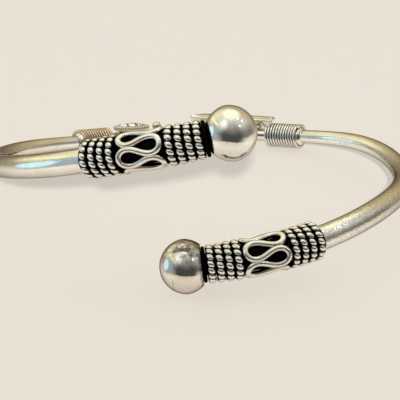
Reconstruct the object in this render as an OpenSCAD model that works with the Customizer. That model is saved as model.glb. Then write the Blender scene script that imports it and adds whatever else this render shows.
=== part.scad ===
// Open bypass bangle: one tapered round bar, a decorated cap and a ball on each end, and two wire
// wraps at the back with a stone in a setting and a polished leaf between them.
// The bangle is drawn as it lies on a table: the right ball and both wire wraps touch z = 0.
// Angles go round the ring from the middle of the back: left is negative, right is positive.

/* [Ring] */
// Radius from the middle of the ring to the centreline of the bar
ring_r = 33; // [31:0.5:36]
// Sides of the round bar
bar_sides = 12; // [10:2:16]
// Angle that the left cap reaches to
left_reach = 178.4; // [176:0.1:182]
// Angle that the right cap reaches to
right_reach = 183.3; // [180:0.1:185]

/* [Balls] */
// Diameter of a ball across the bar
ball_d = 8.05; // [7.7:0.05:8.4]
// Length of a ball along the bar
ball_len = 7.5; // [7.2:0.1:7.6]
// Distance from the left cap's face to its ball's middle
left_ball_out = 3.25; // [2.4:0.05:3.3]
// Distance from the right cap's face to its ball's middle
right_ball_out = 2.45; // [2.4:0.05:3.1]

/* [Caps] */
// Length of the left cap
left_cap_len = 18.46; // [17.85:0.01:19]
// Length of the right cap
right_cap_len = 17.85; // [17.85:0.05:19]
// Outer radius of a cap
cap_r = 3; // [2.9:0.05:3.2]
// Radius of the plain collar next to the ball
collar_r = 2.65; // [2.5:0.05:2.8]
// Radius of the sleeve under the ropes
seat_r = 1.6; // [1.5:0.05:1.6]
// Depth that the bar goes into a cap
spigot_len = 3; // [2:0.5:4]

/* [Ropes] */
// Thickness of the twisted wire
rope_d = 1.16; // [1:0.02:1.2]
// Lay of the rope: beads seen round one ring
rope_beads = 16; // [12:2:20]
// How much smaller each ring of the outer band is than the next one in
rope_step = 0.05; // [0:0.01:0.06]

/* [Serpentine] */
// Waves round a cap
wave_count = 5; // [4:1:6]
// Furthest angle that the wire swings to, from straight round the cap
wave_swing = 116; // [108:0.5:116]
// Thickness of the serpentine wire
wave_wire_d = 0.9; // [0.7:0.05:0.95]
// Turn of the first loop round the bar, from straight outward
wave_turn = 3; // [0:1:71]

/* [Wire wraps] */
// Angles of the middles of the left and the right wrap
wrap_at = [31, 32.2];
// Outer radius of a wrap
wrap_r = 2.2; // [2.1:0.05:2.4]
// Thickness of its wire
wrap_wire_d = 0.5; // [0.4:0.02:0.52]
// Distance from one turn to the next
wrap_pitch = 0.54; // [0.54:0.01:0.6]
// Turns of wire
wrap_turns = 12; // [8:1:13]

/* [Stone] */
// Angle of the setting
setting_at = -17.9; // [-19:0.1:-17]
// Half length and half width of the setting over its twisted rim
setting_size = [3.4, 2];
// Height of the setting's lip above the bar's centreline
setting_top = 2.3; // [2.2:0.05:2.7]
// Lean of the setting away from the middle of the ring
setting_lean = 8; // [0:1:15]
// Thickness of the rim's twisted wire
rim_d = 0.8; // [0.5:0.05:0.8]

/* [Leaf] */
// Angles of the leaf's tip and of its blunt end
leaf_span = [1.3, 28.5];
// Half width of the leaf
leaf_half_w = 1.3; // [1:0.05:1.6]
// Height of the leaf's underside above the bar's centreline, at the tip and at the end
leaf_under = [3.35, 2.7];
// Thickness of the leaf along its rib
leaf_t = 0.6; // [0.4:0.05:0.7]

/* [Hidden] */
left = -1;
right = 1;
gap = 0.05;        // clearance between soldered pieces
station_step = 32; // degrees between the rows of the table below
stations = [
    // height of the centreline, diameter of the bar
    [25.1, 3.7],
    [21.1, 3.7],
    [15.6, 3.65],
    [10.2, 3.35],
    [6.0, 2.8],
    [2.6, 2.2],
    [1.4, 2.2],
    [2.42, 2.2],
    [5.0, 2.8],
    [5.9, 3.35],
    [6.9, 3.65],
    [5.6, 3.7],
    [3.75, 3.7],
];

rope_at = [1.22, 2.48, 3.74, 5, 13.08, 14.38, 15.68, 16.98]; // from the face of the cap as drawn
outer_rows = 4;
drawn_cap_len = 17.85;
collar_len = 0.55;
rim_len = 0.22;
land_span = [5.64, 12.44]; // the stretch of sleeve under the serpentine
wave_middle = 9.04;
land_r = cap_r - wave_wire_d - 2 * gap;
rim_r = cap_r - 0.5;
spigot_r = 1.2;
sleeve_sides = 14;
wrap_steps = 9; // to a turn
wrap_core_r = (wrap_r - wrap_wire_d) * cos(180 / wrap_steps) - 1.5 * gap;

granules = [
    // angle, diameter
    [-9.65, 1.6],
    [6, 2.04],
    [23.3, 1.62],
];

ropes = [for (side = [left, right], i = [0 : len(rope_at) - 1]) [side, i]];
function side_name(side) = side == left ? "left" : "right";
function rope_name(rope) = str(side_name(rope[0]), "_rope_", rope[1] + 1);
function granule_name(i) = str("granule_", i + 1);

// The centreline

function row(i, column) = let (last = len(stations) - 1)
    i < 0 ? 2 * stations[0][column] - stations[1][column]
    : i > last ? 2 * stations[last][column] - stations[last - 1][column]
    : stations[i][column];

function smooth(a, b, c, d, t) =
    b + t * ((c - a) + t * ((2 * a - 5 * b + 4 * c - d) + t * (3 * b - 3 * c + d - a))) / 2;

function along(angle, column) = let (
        place = angle / station_step + (len(stations) - 1) / 2,
        i = min(max(floor(place), 0), len(stations) - 2)
    )
    smooth(row(i - 1, column), row(i, column), row(i + 1, column), row(i + 2, column), place - i);

function bar_r(angle) = along(angle, 1) / 2;

front_reach = -ring_r * cos(left_reach) + left_ball_out * sin(left_reach) + ball_d / 2;
back_reach = ring_r + bar_r(0);
middle_y = (front_reach - back_reach) / 2; // puts the middle of the whole bangle at the origin

function centre(angle) = [
    ring_r * sin(angle),
    ring_r * cos(angle) + middle_y,
    along(angle, 0),
];

function unit(v) = v / norm(v);
function forward(angle) = unit(centre(angle + 0.1) - centre(angle - 0.1));
function outward(angle) = let (f = forward(angle), r = [sin(angle), cos(angle), 0])
    unit(r - (r * f) * f);
function upward(angle) = cross(forward(angle), outward(angle));
function mm_per_degree(angle) = norm(centre(angle + 0.5) - centre(angle - 0.5));

// A point beside the centreline: turn 0 is straight outward and turn 90 is up
function beside(angle, radius, turn) =
    centre(angle) + radius * (cos(turn) * outward(angle) + sin(turn) * upward(angle));

// A point above the centreline: x along the bar, y outward and z up, leaning outward by lean
function above(angle, x, y, z, lean = 0) =
    centre(angle) + x * forward(angle)
    + (y * cos(lean) + z * sin(lean)) * outward(angle)
    + (z * cos(lean) - y * sin(lean)) * upward(angle);

// Angle of a place in a cap, measured from the face that the ball sits on
function reach(side) = side == left ? left_reach : right_reach;
function cap_len(side) = side == left ? left_cap_len : right_cap_len;
function wrap_angle(side) = side == left ? -wrap_at[0] : wrap_at[1];
function cap_angle(side, distance) =
    side * (reach(side) - distance / mm_per_degree(side * (reach(side) - 17)));
function cap_place(side, drawn) = cap_angle(side, drawn * cap_len(side) / drawn_cap_len);

// Closed skins through rings of points

function quads(a, b, count) = [
    for (k = [0 : count - 1]) let (l = (k + 1) % count)
        each [[a + k, a + l, b + l], [a + k, b + l, b + k]]
];

// Skin through the rings in turn, closed by the first and the last ring
module skin(rings) {
    count = len(rings[0]);
    last = len(rings) - 1;
    polyhedron(
        [for (ring = rings) each ring],
        concat(
            [[for (k = [count - 1 : -1 : 0]) k]],
            [for (j = [0 : last - 1]) each quads(j * count, (j + 1) * count, count)],
            [[for (k = [0 : count - 1]) last * count + k]]
        )
    );
}

// Skin through rings that come back to the first ring
module loop_skin(rings) {
    count = len(rings[0]);
    rows = len(rings);
    polyhedron(
        [for (ring = rings) each ring],
        [for (j = [0 : rows - 1]) each quads(j * count, (j + 1) % rows * count, count)]
    );
}

// Ring of points round the bar
function bar_ring(angle, radius, sides, way = 1) =
    [for (k = [0 : sides - 1]) beside(angle, radius, -way * 360 * k / sides)];

// Bar and balls

// One stretch of the bar, in even steps; radius 0 follows the table
function stretch(from, to, steps, radius = 0) = [
    for (i = [0 : steps]) let (angle = from + (to - from) * i / steps)
        bar_ring(angle, radius > 0 ? radius : bar_r(angle), bar_sides)
];

module bar() {
    half_wrap = wrap_turns * wrap_pitch / 2 / mm_per_degree(wrap_at[0]);
    left_wrap = wrap_angle(left);
    right_wrap = wrap_angle(right);
    shoulder = [for (side = [left, right]) cap_angle(side, cap_len(side) + gap)];
    tip = [for (side = [left, right]) cap_angle(side, cap_len(side) - spigot_len)];
    color("silver") skin(concat(
        stretch(tip[0], shoulder[0], 1, spigot_r),
        stretch(shoulder[0], left_wrap - half_wrap, 16),
        stretch(left_wrap - half_wrap, left_wrap + half_wrap, 4, wrap_core_r),
        stretch(left_wrap + half_wrap, right_wrap - half_wrap, 8),
        stretch(right_wrap - half_wrap, right_wrap + half_wrap, 4, wrap_core_r),
        stretch(right_wrap + half_wrap, shoulder[1], 16),
        stretch(shoulder[1], tip[1], 1, spigot_r)
    ));
}

// Two shallow domes joined in a seam, cut flat where the ball sits on its collar
module ball(side) {
    out = side == left ? left_ball_out : right_ball_out;
    face = side * reach(side);
    way = side * forward(face);
    across = ball_d ^ 2 / (2 * ball_len);
    dome_r = (across + ball_len / 2) / 2;
    apart = (across - ball_len / 2) / 2;
    color("gainsboro")
        translate(centre(face) + out * way)
            rotate([0, acos(way[2]), atan2(way[1], way[0])])
                intersection() {
                    translate([0, 0, apart]) sphere(r = dome_r, $fn = 64);
                    translate([0, 0, -apart]) sphere(r = dome_r, $fn = 64);
                    translate([-ball_d, -ball_d, gap - out]) cube(2 * ball_d);
                }
}

// Caps

// Sleeve that holds the bar: collar, rope seats, raised land, end rim and socket
module sleeve(side) {
    full = drawn_cap_len;
    profile = [
        // distance from the cap's face, radius
        [0, collar_r],
        [collar_len, collar_r],
        [collar_len, seat_r],
        [land_span[0], seat_r],
        [land_span[0], land_r],
        [wave_middle, land_r],
        [land_span[1], land_r],
        [land_span[1], seat_r],
        [full - rim_len, seat_r],
        [full - rim_len, rim_r],
        [full, rim_r],
        [full, spigot_r + gap],
        [full - spigot_len - gap, spigot_r + gap],
    ];
    color("dimgray") skin([
        for (p = profile) bar_ring(cap_place(side, p[0]), p[1], sleeve_sides, -side)
    ]);
}

// One ring of wire twisted from two strands
module rope(side, i) {
    place = cap_place(side, rope_at[i]);
    radius = cap_r - rope_d / 2 - max(outer_rows - 1 - i, 0) * rope_step;
    steps = 3 * rope_beads;
    q = rope_d / 4; // radius of one strand
    strands = [[2, 0], [1, 1], [-1, 1], [-2, 0], [-1, -1], [1, -1]] * q;
    color("silver") loop_skin([
        for (j = [0 : steps - 1]) let (twist = 180 * rope_beads * j / steps)
            [for (s = strands) beside(
                place + (s[0] * sin(twist) + s[1] * cos(twist)) / mm_per_degree(place),
                radius + s[0] * cos(twist) - s[1] * sin(twist),
                360 * j / steps
            )]
    ]);
}

// Wire that winds to and fro round a cap, its direction swinging like a sine
module serpentine(side) {
    steps = 16;
    radius = cap_r - wave_wire_d / 2 - gap;
    function swing(i) = wave_swing * sin(360 * i / steps);
    wave = [
        for (i = 0, p = [0, 0]; i <= steps;
            p = p + [cos(swing(i + 0.5)), sin(swing(i + 0.5))], i = i + 1) p
    ];
    degree_scale = 360 / wave_count / wave[steps][0];
    mm_scale = degree_scale * PI / 180 * radius;
    high = max([for (p = wave) p[1]]);
    middle = cap_place(side, wave_middle);
    color("silver") loop_skin([
        for (w = [0 : wave_count - 1], i = [0 : steps - 1]) let (
            p = wave[i] + [w * wave[steps][0], -high / 2],
            swung = side * swing(i)
        )
            [for (k = [0 : 4]) let (
                sideways = wave_wire_d / 2 * cos(72 * k),
                raised = wave_wire_d / 2 * sin(72 * k)
            )
                beside(
                    middle + (side * p[1] * mm_scale + sideways * cos(swung)) / mm_per_degree(middle),
                    radius + raised,
                    wave_turn + p[0] * degree_scale - sideways * sin(swung) / radius * 180 / PI
                )]
    ]);
}

// Wire wraps

module wrap(side) {
    steps = wrap_steps;
    radius = wrap_r - wrap_wire_d / 2;
    middle = wrap_angle(side);
    half = wrap_turns * wrap_pitch / 2;
    color("lightgray") skin([
        for (i = [0 : wrap_turns * steps]) let (place = -half + wrap_pitch * i / steps)
            [for (k = [0 : 4]) beside(
                middle + (place + wrap_wire_d / 2 * cos(72 * k)) / mm_per_degree(middle),
                radius + wrap_wire_d / 2 * sin(72 * k),
                360 * i / steps
            )]
    ]);
}

// Stone, setting and leaf

// Oval ring round the setting's middle
function oval(half_len, half_w, z, sides, start = 0) = [
    for (k = [0 : sides - 1]) let (a = start + 360 * k / sides)
        above(setting_at, half_len * cos(a), half_w * sin(a), z, setting_lean)
];

bezel = setting_size - [rim_d + gap, rim_d + gap];
stone_size = bezel - [0.2, 0.2];
stone_seat = 1.5;

module setting() {
    foot = bar_r(setting_at) + gap;
    color("darkkhaki") skin([
        oval(bezel[0], bezel[1] * 0.7, foot, 16),
        oval(bezel[0], bezel[1], foot + 0.4, 16),
        oval(bezel[0], bezel[1], setting_top, 16),
        oval(stone_size[0], stone_size[1], setting_top, 16),
        oval(stone_size[0], stone_size[1], stone_seat, 16),
    ]);
}

module setting_rim() {
    beads = 20;
    steps = 3 * beads;
    middle = setting_size - [rim_d / 2, rim_d / 2];
    color("silver") loop_skin([
        for (j = [0 : steps - 1]) let (a = 360 * j / steps, twist = 180 * beads * j / steps)
            [for (s = [[2, 0], [0, -1.2], [-2, 0], [0, 1.2]] * rim_d / 4) let (
                out = s[0] * cos(twist) - s[1] * sin(twist),
                up = s[0] * sin(twist) + s[1] * cos(twist)
            )
                above(setting_at, (middle[0] + out) * cos(a), (middle[1] + out) * sin(a),
                    setting_top - rim_d / 2 + up, setting_lean)]
    ]);
}

// Oval cut stone: small flat under, girdle, eight crown facets and a table
module stone() {
    full = stone_size - [gap, gap];
    facets = 12;
    half_step = 180 / facets;
    color("lavender") skin([
        oval(full[0] * 0.35, full[1] * 0.35, stone_seat + gap, facets, half_step),
        oval(full[0], full[1], setting_top - 0.2, facets),
        oval(full[0], full[1], setting_top - 0.05, facets),
        oval(full[0] * 0.6, full[1] * 0.6, setting_top + 0.35, facets, half_step),
    ]);
}

// Leaf along the ring: a pointed tip, a low rib and a blunt end
module leaf() {
    steps = 12;
    color("whitesmoke") skin([
        for (i = [0 : steps]) let (
            t = i / steps,
            angle = leaf_span[0] + (leaf_span[1] - leaf_span[0]) * t,
            half_w = leaf_half_w * (0.12 + 0.88 * sin(min(t * 400, 90)) ^ 0.7) * (1 - 0.2 * t ^ 2),
            under = leaf_under[0] + (leaf_under[1] - leaf_under[0]) * t,
            edge = leaf_t * 0.65
        )
            [
                above(angle, 0, -half_w, under),
                above(angle, 0, half_w, under),
                above(angle, 0, half_w, under + edge),
                above(angle, 0, 0, under + leaf_t),
                above(angle, 0, -half_w, under + edge),
            ]
    ]);
}

// Small balls soldered on the bar
module granule(i) {
    d = granules[i][1];
    color("silver")
        translate(above(granules[i][0], 0, 0, bar_r(granules[i][0]) + gap + d / 2))
            sphere(d = d, $fn = 32);
}

bar();
ball(left);  // left_ball
ball(right);  // right_ball
sleeve(left);  // left_sleeve
sleeve(right);  // right_sleeve
for (r = ropes) rope(r[0], r[1]);
serpentine(left);  // left_serpentine
serpentine(right);  // right_serpentine
wrap(left);  // left_wrap
wrap(right);  // right_wrap
setting();
setting_rim();
stone();
leaf();
for (i = [0 : len(granules) - 1]) granule(i);
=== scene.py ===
from math import atan, cos, pi, radians, sin, sqrt

import bmesh
import bpy
from mathutils import Matrix, Vector


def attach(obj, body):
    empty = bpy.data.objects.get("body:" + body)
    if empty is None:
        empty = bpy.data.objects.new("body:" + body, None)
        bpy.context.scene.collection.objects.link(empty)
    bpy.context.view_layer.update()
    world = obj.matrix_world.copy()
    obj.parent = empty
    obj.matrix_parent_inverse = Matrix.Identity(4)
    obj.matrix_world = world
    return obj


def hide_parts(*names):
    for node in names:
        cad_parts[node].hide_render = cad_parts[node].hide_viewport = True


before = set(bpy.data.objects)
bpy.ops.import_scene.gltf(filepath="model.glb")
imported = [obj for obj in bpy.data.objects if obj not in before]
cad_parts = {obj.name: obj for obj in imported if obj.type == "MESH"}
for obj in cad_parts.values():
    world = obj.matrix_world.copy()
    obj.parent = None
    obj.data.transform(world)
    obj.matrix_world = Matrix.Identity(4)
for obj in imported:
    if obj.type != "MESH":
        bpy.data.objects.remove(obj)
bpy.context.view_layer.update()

mm = 0.001  # sizes below are in millimetres
nothing = 1e-6  # a radius up to this counts as a tip
print("frame:", len(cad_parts), "nodes")

# The centreline and the bar, as in the part's source. Angles go round the ring from the
# middle of the back, left negative and right positive; the tables have a value every step.
ring = {
    "radius": 33.0,
    "step": 32.0,
    "heights": [25.1, 21.1, 15.6, 10.2, 6.0, 2.6, 1.4, 2.42, 5.0, 5.9, 6.9, 5.6, 3.75],
    "diameters": [3.7, 3.7, 3.65, 3.35, 2.8, 2.2, 2.2, 2.2, 2.8, 3.35, 3.65, 3.7, 3.7],
    "guideFrom": -190.0,
    "guideStep": 0.25,
    "guideSteps": 1536,
}
caps = {
    "left": {"side": -1, "reach": 178.4, "length": 18.46, "ballOut": 3.25},
    "right": {"side": 1, "reach": 183.3, "length": 17.85, "ballOut": 2.45},
}
drawnCapLength = 17.85
capRadius = 3.0
capTurn = 17  # degrees back from its face, where a cap's length is measured
ball = {
    "diameter": 8.05, "length": 7.5, "sides": 128, "rings": 72,
    "seam": 0.35, "seamDepth": 0.012,  # half width and depth of the rounded seam
    "stain": 4.0,  # how far from its cap a ball is darker
    # a groove round the right ball: its place from the seam, half width, slope, depth, the rows that
    # make way for it, and where it is black: so near and so low
    "crack": {"left": None, "right": 1.9}, "crackHalf": 0.035, "crackSlope": 0.02, "crackDepth": 0.004,
    "crackRoom": 0.03, "crackDark": 0.01, "crackBelow": -0.6,
    # the right ball's grime: the way to its middle, how bare it is there and how fast that grows
    "grime": {"left": None, "right": ((0.39, -0.3, 0.86), 0.03, 0.24)},
    "finish": {"left": "ballSilver", "right": "rightBallSilver"},
}
frontTurn = radians(caps["left"]["reach"])
frontReach = -ring["radius"] * cos(frontTurn) + caps["left"]["ballOut"] * sin(frontTurn) + ball["diameter"] / 2


def smooth(a, b, c, d, t):
    return b + t * ((c - a) + t * ((2 * a - 5 * b + 4 * c - d) + t * (3 * b - 3 * c + d - a))) / 2


def along(angle, rows):
    last = len(rows) - 1
    place = angle / ring["step"] + last / 2
    i = min(max(int(place), 0), last - 1)
    before = rows[i - 1] if i > 0 else 2 * rows[0] - rows[1]
    after = rows[i + 2] if i < last - 1 else 2 * rows[last] - rows[last - 1]
    return smooth(before, rows[i], rows[i + 1], after, place - i)


def barRadius(angle):
    return along(angle, ring["diameters"]) / 2


ringY = (frontReach - ring["radius"] - barRadius(0)) / 2


def centreAt(angle):
    a = radians(angle)
    return Vector((ring["radius"] * sin(a), ring["radius"] * cos(a) + ringY,
                   along(angle, ring["heights"])))


def forwardAt(angle):
    return (centreAt(angle + 0.1) - centreAt(angle - 0.1)).normalized()


def outwardAt(angle):
    return Vector((0, 0, 1)).cross(forwardAt(angle)).normalized()


def upwardAt(angle):
    return forwardAt(angle).cross(outwardAt(angle))


def mmPerDegree(angle):
    return (centreAt(angle + 0.5) - centreAt(angle - 0.5)).length


def beside(angle, radius, turn):
    t = radians(turn)
    return centreAt(angle) + radius * (cos(t) * outwardAt(angle) + sin(t) * upwardAt(angle))


def above(angle, x, y, z, lean=0.0):
    t = radians(lean)
    return (centreAt(angle) + x * forwardAt(angle)
            + (y * cos(t) + z * sin(t)) * outwardAt(angle)
            + (z * cos(t) - y * sin(t)) * upwardAt(angle))


def capAngle(cap, distance):
    side, reach = cap["side"], cap["reach"]
    return side * (reach - distance / mmPerDegree(side * (reach - capTurn)))


def capPlace(cap, drawn):
    return capAngle(cap, drawn * cap["length"] / drawnCapLength)


def linkObject(name, data):
    obj = bpy.data.objects.new(name, data)
    bpy.context.scene.collection.objects.link(obj)
    return obj


def meshObject(name, points, faces, edges=()):
    mesh = bpy.data.meshes.new(name)
    mesh.from_pydata([tuple(p * mm) for p in points], edges, faces)
    return linkObject(name, mesh)


def pathObject(name, points, closed=False):
    count = len(points)
    return meshObject(name, points, [], [(i, (i + 1) % count) for i in range(count if closed else count - 1)])


def skinObject(name, rings):
    # A closed skin over rings of points; a ring of one point is a tip
    points, starts, faces = [], [], []
    for ringPoints in rings:
        starts.append(len(points))
        points += ringPoints
    for i in range(len(rings) - 1):
        a, b, count = starts[i], starts[i + 1], max(len(rings[i]), len(rings[i + 1]))
        for k in range(count):
            n = (k + 1) % count
            if len(rings[i]) == 1:
                faces.append((a, b + n, b + k))
            elif len(rings[i + 1]) == 1:
                faces.append((a + k, a + n, b))
            else:
                faces.append((a + k, a + n, b + n, b + k))
    if len(rings[0]) > 1:
        faces += [tuple(range(len(rings[0]) - 1, -1, -1)), tuple(range(starts[-1], len(points)))]
    return meshObject(name, points, faces)


def faceOutwards(obj, smoothShade):
    # A closed shell with a negative volume is inside out
    work = bmesh.new()
    work.from_mesh(obj.data)
    if work.calc_volume(signed=True) < 0:
        bmesh.ops.reverse_faces(work, faces=work.faces)
    work.to_mesh(obj.data)
    work.free()
    obj.data.polygons.foreach_set("use_smooth", [smoothShade] * len(obj.data.polygons))


def storeHeights(obj, values):
    # How far out of the recess each point stands
    obj.data.attributes.new("height", "FLOAT", "POINT").data.foreach_set("value", values)


def keepPiece(obj, node, finish, smoothShade=True):
    faceOutwards(obj, smoothShade)
    obj.data.materials.clear()
    obj.data.materials.append(finishes[finish])
    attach(obj, "root")
    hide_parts(node)


# Node trees

def pick(sockets, key):
    if isinstance(key, int):
        return sockets[key]
    return next(s for s in sockets if s.name == key and s.enabled)


def fill(tree, node, values):
    for key, value in values.items():
        socket = pick(node.inputs, key)
        if isinstance(value, bpy.types.NodeSocket):
            tree.links.new(value, socket)
        else:
            socket.default_value = (*value, 1) if socket.type == "RGBA" else value
    return node


def put(tree, kind, values=None, **settings):
    node = tree.nodes.new(kind)
    for key, value in settings.items():
        setattr(node, key, value)
    return fill(tree, node, values or {})


def calc(tree, operation, *terms):
    return put(tree, "ShaderNodeMath", dict(enumerate(terms)), operation=operation).outputs[0]


def plus(tree, a, b):
    return calc(tree, "ADD", a, b)


def minus(tree, a, b):
    return calc(tree, "SUBTRACT", a, b)


def times(tree, a, b):
    return calc(tree, "MULTIPLY", a, b)


def vector(tree, operation, *terms):
    node = put(tree, "ShaderNodeVectorMath", dict(enumerate(terms)), operation=operation)
    return pick(node.outputs, "Value" if operation in ("LENGTH", "DOT_PRODUCT") else "Vector")


def scaled(tree, direction, factor):
    node = put(tree, "ShaderNodeVectorMath", {0: direction, "Scale": factor}, operation="SCALE")
    return node.outputs["Vector"]


def mapped(tree, value, low, high, toLow=0.0, toHigh=1.0, smoothly=False):
    node = put(tree, "ShaderNodeMapRange",
               {"Value": value, "From Min": low, "From Max": high, "To Min": toLow, "To Max": toHigh},
               interpolation_type="SMOOTHSTEP" if smoothly else "LINEAR")
    return node.outputs["Result"]


def newTree(name, floats, wholes):
    tree = bpy.data.node_groups.new(name, "GeometryNodeTree")
    labels = [("Geometry", "Geometry"), *((label, "Float") for label in floats),
              *((label, "Int") for label in wholes), ("Material", "Material")]
    for label, kind in labels:
        tree.interface.new_socket(label, in_out="INPUT", socket_type="NodeSocket" + kind)
    tree.interface.new_socket("Geometry", in_out="OUTPUT", socket_type="NodeSocketGeometry")
    return tree, tree.nodes.new("NodeGroupInput").outputs


def toCurve(tree, mesh):
    return put(tree, "GeometryNodeMeshToCurve", {"Mesh": mesh}).outputs["Curve"]


def moved(tree, geometry, **how):
    return put(tree, "GeometryNodeSetPosition", {"Geometry": geometry, **how}).outputs["Geometry"]


def stepIn(tree):
    return put(tree, "GeometryNodeSplineParameter").outputs["Index"]


def positionIn(tree):
    return put(tree, "GeometryNodeInputPosition").outputs["Position"]


def attributeIn(tree, name):
    return put(tree, "GeometryNodeInputNamedAttribute", {"Name": name}).outputs["Attribute"]


def axes(tree, value):
    return put(tree, "ShaderNodeSeparateXYZ", {0: value}).outputs


def circleCurve(tree, steps, radius):
    node = put(tree, "GeometryNodeCurvePrimitiveCircle", {"Resolution": steps, "Radius": radius})
    return node.outputs["Curve"]


def sweep(tree, curve, profile, scale):
    node = put(tree, "GeometryNodeCurveToMesh",
               {"Curve": curve, "Profile Curve": profile, "Scale": scale, "Fill Caps": True})
    return node.outputs["Mesh"]


def store(tree, geometry, name, value, kind="FLOAT"):
    node = put(tree, "GeometryNodeStoreNamedAttribute",
               {"Geometry": geometry, "Name": name, "Value": value}, data_type=kind)
    return node.outputs["Geometry"]


def endTree(tree, geometry, given):
    real = put(tree, "GeometryNodeRealizeInstances", {"Geometry": geometry}).outputs["Geometry"]
    done = put(tree, "GeometryNodeSetMaterial", {"Geometry": real, "Material": given["Material"]})
    put(tree, "NodeGroupOutput", {"Geometry": done.outputs["Geometry"]})
    return tree


def besideBar(tree, guide, place, radius, turn):
    sample = put(tree, "GeometryNodeSampleCurve", {"Curves": guide, "Length": place}, mode="LENGTH")
    forward = sample.outputs["Tangent"]
    outward = vector(tree, "NORMALIZE", vector(tree, "CROSS_PRODUCT", (0, 0, 1), forward))
    upward = vector(tree, "CROSS_PRODUCT", forward, outward)
    sideways = scaled(tree, outward, times(tree, radius, calc(tree, "COSINE", turn)))
    raised = scaled(tree, upward, times(tree, radius, calc(tree, "SINE", turn)))
    return vector(tree, "ADD", sample.outputs["Position"], vector(tree, "ADD", sideways, raised))


def distanceTo(tree, path):
    return put(tree, "GeometryNodeProximity", {"Geometry": path}, target_element="EDGES").outputs["Distance"]


def heightOverBar(tree, mesh, given):
    near = distanceTo(tree, given["Geometry"])
    return store(tree, mesh, "height", mapped(tree, near, given["Low"], given["High"]))


wireBumps = 900.0  # how fine the bumps in a wire's thickness are


def unevenly(tree, given):
    # A wire's thickness goes slowly up and down round 1, as in hand-drawn wire
    noise = put(tree, "ShaderNodeTexNoise", {
        "Vector": positionIn(tree), "W": given["Seed"], "Scale": wireBumps, "Detail": 1.0}, noise_dimensions="4D")
    return calc(tree, "MULTIPLY_ADD", minus(tree, noise.outputs["Fac"], 0.5), given["Unevenness"], 1.0)


def twistedWireTree():
    # Two strands twisted round a closed loop of points. Each is thicker by Swell on the outer side,
    # and by Hurry it crosses over faster there, which leaves bead after bead.
    floats = ["Strand Radius", "Outward", "Sideways", "Twists", "Hurry", "Swell", "Unevenness", "Seed", "Low",
              "High"]
    tree, given = newTree("twistedWire", floats, ["Steps", "Sides"])
    loop = toCurve(tree, given["Geometry"])
    even = put(tree, "GeometryNodeResampleCurve", {"Curve": loop, "Count": given["Steps"]}).outputs["Curve"]
    middle = put(tree, "GeometryNodeAttributeStatistic", {"Geometry": even, "Attribute": positionIn(tree)},
                 data_type="FLOAT_VECTOR")
    middlePoint = pick(middle.outputs, "Mean")
    pair = put(tree, "GeometryNodeDuplicateElements", {"Geometry": even, "Amount": 2}, domain="SPLINE")
    share = calc(tree, "DIVIDE", stepIn(tree), given["Steps"])
    halfTurn = times(tree, pair.outputs["Duplicate Index"], pi)
    twist = calc(tree, "MULTIPLY_ADD", share, times(tree, given["Twists"], 2 * pi), halfTurn)
    twist = calc(tree, "MULTIPLY_ADD", calc(tree, "SINE", times(tree, twist, 2.0)), given["Hurry"], twist)
    forward = put(tree, "GeometryNodeInputTangent").outputs["Tangent"]
    arm = vector(tree, "SUBTRACT", positionIn(tree), middlePoint)
    side = vector(tree, "NORMALIZE", vector(tree, "CROSS_PRODUCT", arm, forward))
    out = vector(tree, "CROSS_PRODUCT", forward, side)
    outer = calc(tree, "COSINE", twist)
    shift = vector(tree, "ADD", scaled(tree, out, times(tree, given["Outward"], outer)),
                   scaled(tree, side, times(tree, given["Sideways"], calc(tree, "SINE", twist))))
    placed = moved(tree, pair.outputs["Geometry"], Offset=shift)
    placed = store(tree, placed, "swell", times(tree, outer, given["Swell"]))
    thick = plus(tree, unevenly(tree, given), attributeIn(tree, "swell"))
    mesh = sweep(tree, placed, circleCurve(tree, given["Sides"], given["Strand Radius"]), thick)
    full = calc(tree, "MULTIPLY_ADD", given["Strand Radius"], plus(tree, given["Swell"], 1.0), given["Outward"])
    mesh = store(tree, mesh, "core", calc(tree, "DIVIDE", distanceTo(tree, given["Geometry"]), full))
    reach = vector(tree, "LENGTH", vector(tree, "SUBTRACT", positionIn(tree), middlePoint))
    mesh = store(tree, mesh, "height", mapped(tree, reach, given["Low"], given["High"]))
    return endTree(tree, mesh, given)


def serpentineTree():
    # A wire whose direction swings like a sine as it goes round the bar
    floats = ["Place", "Side", "Radius", "Wire Radius", "Swing", "Turn", "Unevenness", "Seed", "Low", "High"]
    tree, given = newTree("serpentineWire", floats, ["Waves", "Steps", "Sides"])
    guide = toCurve(tree, given["Geometry"])
    count = times(tree, given["Waves"], given["Steps"])
    loop = circleCurve(tree, count, 1.0)
    phase = calc(tree, "DIVIDE", plus(tree, stepIn(tree), 0.5), given["Steps"])
    swing = times(tree, given["Swing"], calc(tree, "SINE", times(tree, phase, 2 * pi)))
    step = put(tree, "ShaderNodeCombineXYZ", {"X": calc(tree, "COSINE", swing), "Y": calc(tree, "SINE", swing)})
    walk = put(tree, "GeometryNodeAccumulateField", {"Value": step.outputs[0]}, data_type="FLOAT_VECTOR")
    walked = axes(tree, pick(walk.outputs, "Trailing"))
    high = put(tree, "GeometryNodeAttributeStatistic", {"Geometry": loop, "Attribute": walked["Y"]})
    scale = calc(tree, "DIVIDE", 2 * pi, axes(tree, pick(walk.outputs, "Total"))["X"])
    turn = calc(tree, "MULTIPLY_ADD", walked["X"], scale, given["Turn"])
    rise = calc(tree, "MULTIPLY_ADD", pick(high.outputs, "Max"), -0.5, walked["Y"])
    away = times(tree, times(tree, rise, scale), times(tree, given["Radius"], given["Side"]))
    position = besideBar(tree, guide, plus(tree, given["Place"], away), given["Radius"], turn)
    placed = moved(tree, loop, Position=position)
    thick = unevenly(tree, given)
    mesh = sweep(tree, placed, circleCurve(tree, given["Sides"], given["Wire Radius"]), thick)
    mesh = heightOverBar(tree, mesh, given)
    return endTree(tree, mesh, given)


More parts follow.
